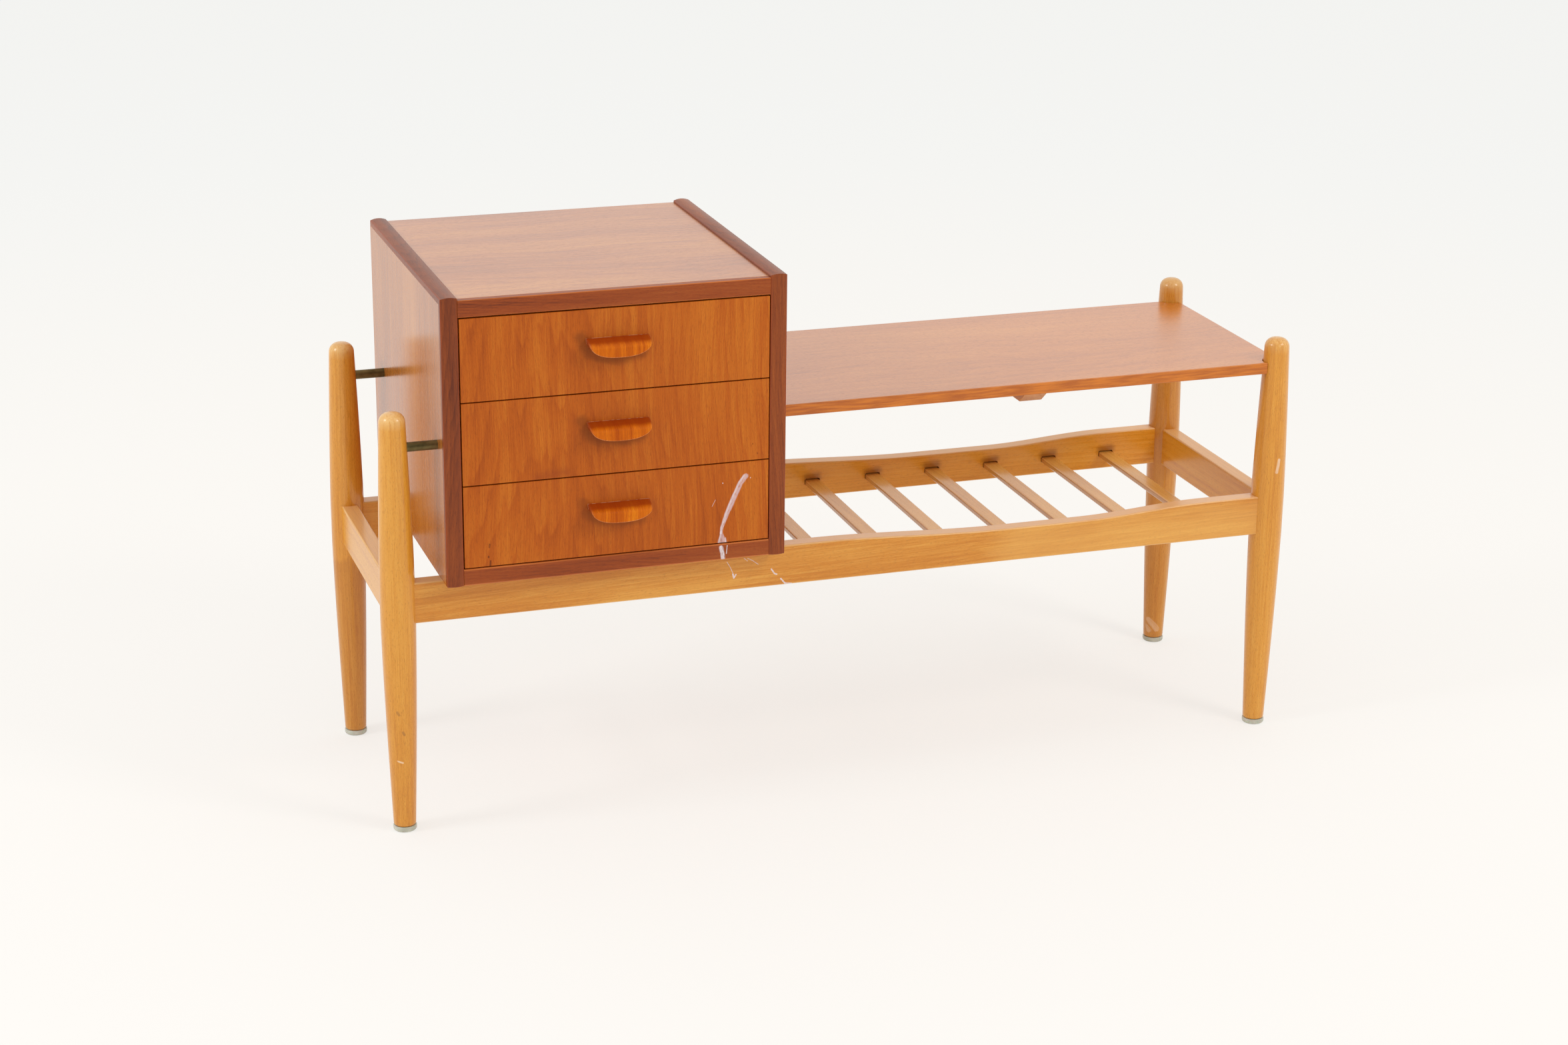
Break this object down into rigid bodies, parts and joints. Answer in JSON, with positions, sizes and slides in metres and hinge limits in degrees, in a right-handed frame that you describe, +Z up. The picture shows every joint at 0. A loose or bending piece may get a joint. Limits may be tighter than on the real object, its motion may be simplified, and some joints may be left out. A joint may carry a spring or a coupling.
{
  "type": "telephone bench",
  "caption": "Low telephone bench with an oak frame on turned legs, a slatted magazine rack, a teak seat shelf and a teak drawer cabinet with carved lip pulls.",
  "frame": {"origin": "on the floor under the middle of the bench's outline", "axes": "+X from the cabinet towards the shelf, +Y towards the back, the drawers open towards -Y, +Z up"},
  "size_m": [1.037, 0.3726, 0.587],
  "materials": {
    "oak": "honey coloured oak, satin lacquer",
    "oak_slat": "honey coloured oak, satin lacquer",
    "teak_top": "teak veneer, satin",
    "teak_side": "teak veneer with upright grain, satin",
    "teak_edging": "dark solid teak edging, satin",
    "teak_front": "teak veneer with upright grain, satin",
    "teak_pull": "solid teak, glossy lacquer",
    "teak_cleat": "solid teak, satin",
    "drawer_wood": "pale beech, waxed",
    "plywood": "birch plywood",
    "brass": "aged brass, brushed",
    "screw_steel": "zinc plated",
    "glide_plastic": "greyish white plastic"
  },
  "bodies": {
    "bench": {"leg_front_left": "oak", "leg_back_left": "oak", "leg_front_right": "oak", "leg_back_right": "oak", "glide_front_left": "glide_plastic", "glide_back_left": "glide_plastic", "glide_front_right": "glide_plastic", "glide_back_right": "glide_plastic", "front_rail": "oak", "back_rail": "oak", "left_end_rail": "oak", "right_end_rail": "oak", "slat_1": "oak_slat", "slat_2": "oak_slat", "slat_3": "oak_slat", "slat_4": "oak_slat", "slat_5": "oak_slat", "slat_6": "oak_slat", "slat_7": "oak_slat", "shelf_board": "teak_top", "shelf_cleat": "teak_cleat", "shelf_dowels": "drawer_wood", "wood_screws": "screw_steel", "rod_front": "brass", "rod_back": "brass", "cabinet_left_panel": "teak_side", "cabinet_right_panel": "teak_side", "left_front_edging": "teak_edging", "left_top_edging": "teak_edging", "right_front_edging": "teak_edging", "right_top_edging": "teak_edging", "cabinet_top": "teak_top", "top_edging": "teak_edging", "cabinet_floor": "teak_side", "floor_edging": "teak_edging", "cabinet_back": "plywood", "runner_left_1": "drawer_wood", "runner_left_2": "drawer_wood", "runner_left_3": "drawer_wood", "runner_right_1": "drawer_wood", "runner_right_2": "drawer_wood", "runner_right_3": "drawer_wood"},
    "bottom_drawer": {"drawer_front_1": "teak_front", "drawer_left_side_1": "drawer_wood", "drawer_right_side_1": "drawer_wood", "drawer_back_1": "drawer_wood", "drawer_bottom_1": "plywood", "drawer_pull_1": "teak_pull"},
    "middle_drawer": {"drawer_front_2": "teak_front", "drawer_left_side_2": "drawer_wood", "drawer_right_side_2": "drawer_wood", "drawer_back_2": "drawer_wood", "drawer_bottom_2": "plywood", "drawer_pull_2": "teak_pull"},
    "top_drawer": {"drawer_front_3": "teak_front", "drawer_left_side_3": "drawer_wood", "drawer_right_side_3": "drawer_wood", "drawer_back_3": "drawer_wood", "drawer_bottom_3": "plywood", "drawer_pull_3": "teak_pull"}
  },
  "joints": [
    {"name": "bottom_drawer_slide", "type": "slide", "parent": "bench", "child": "bottom_drawer", "axis": [0, -1, 0], "range_m": [0, 0.24]},
    {"name": "middle_drawer_slide", "type": "slide", "parent": "bench", "child": "middle_drawer", "axis": [0, -1, 0], "range_m": [0, 0.24]},
    {"name": "top_drawer_slide", "type": "slide", "parent": "bench", "child": "top_drawer", "axis": [0, -1, 0], "range_m": [0, 0.24]}
  ]
}
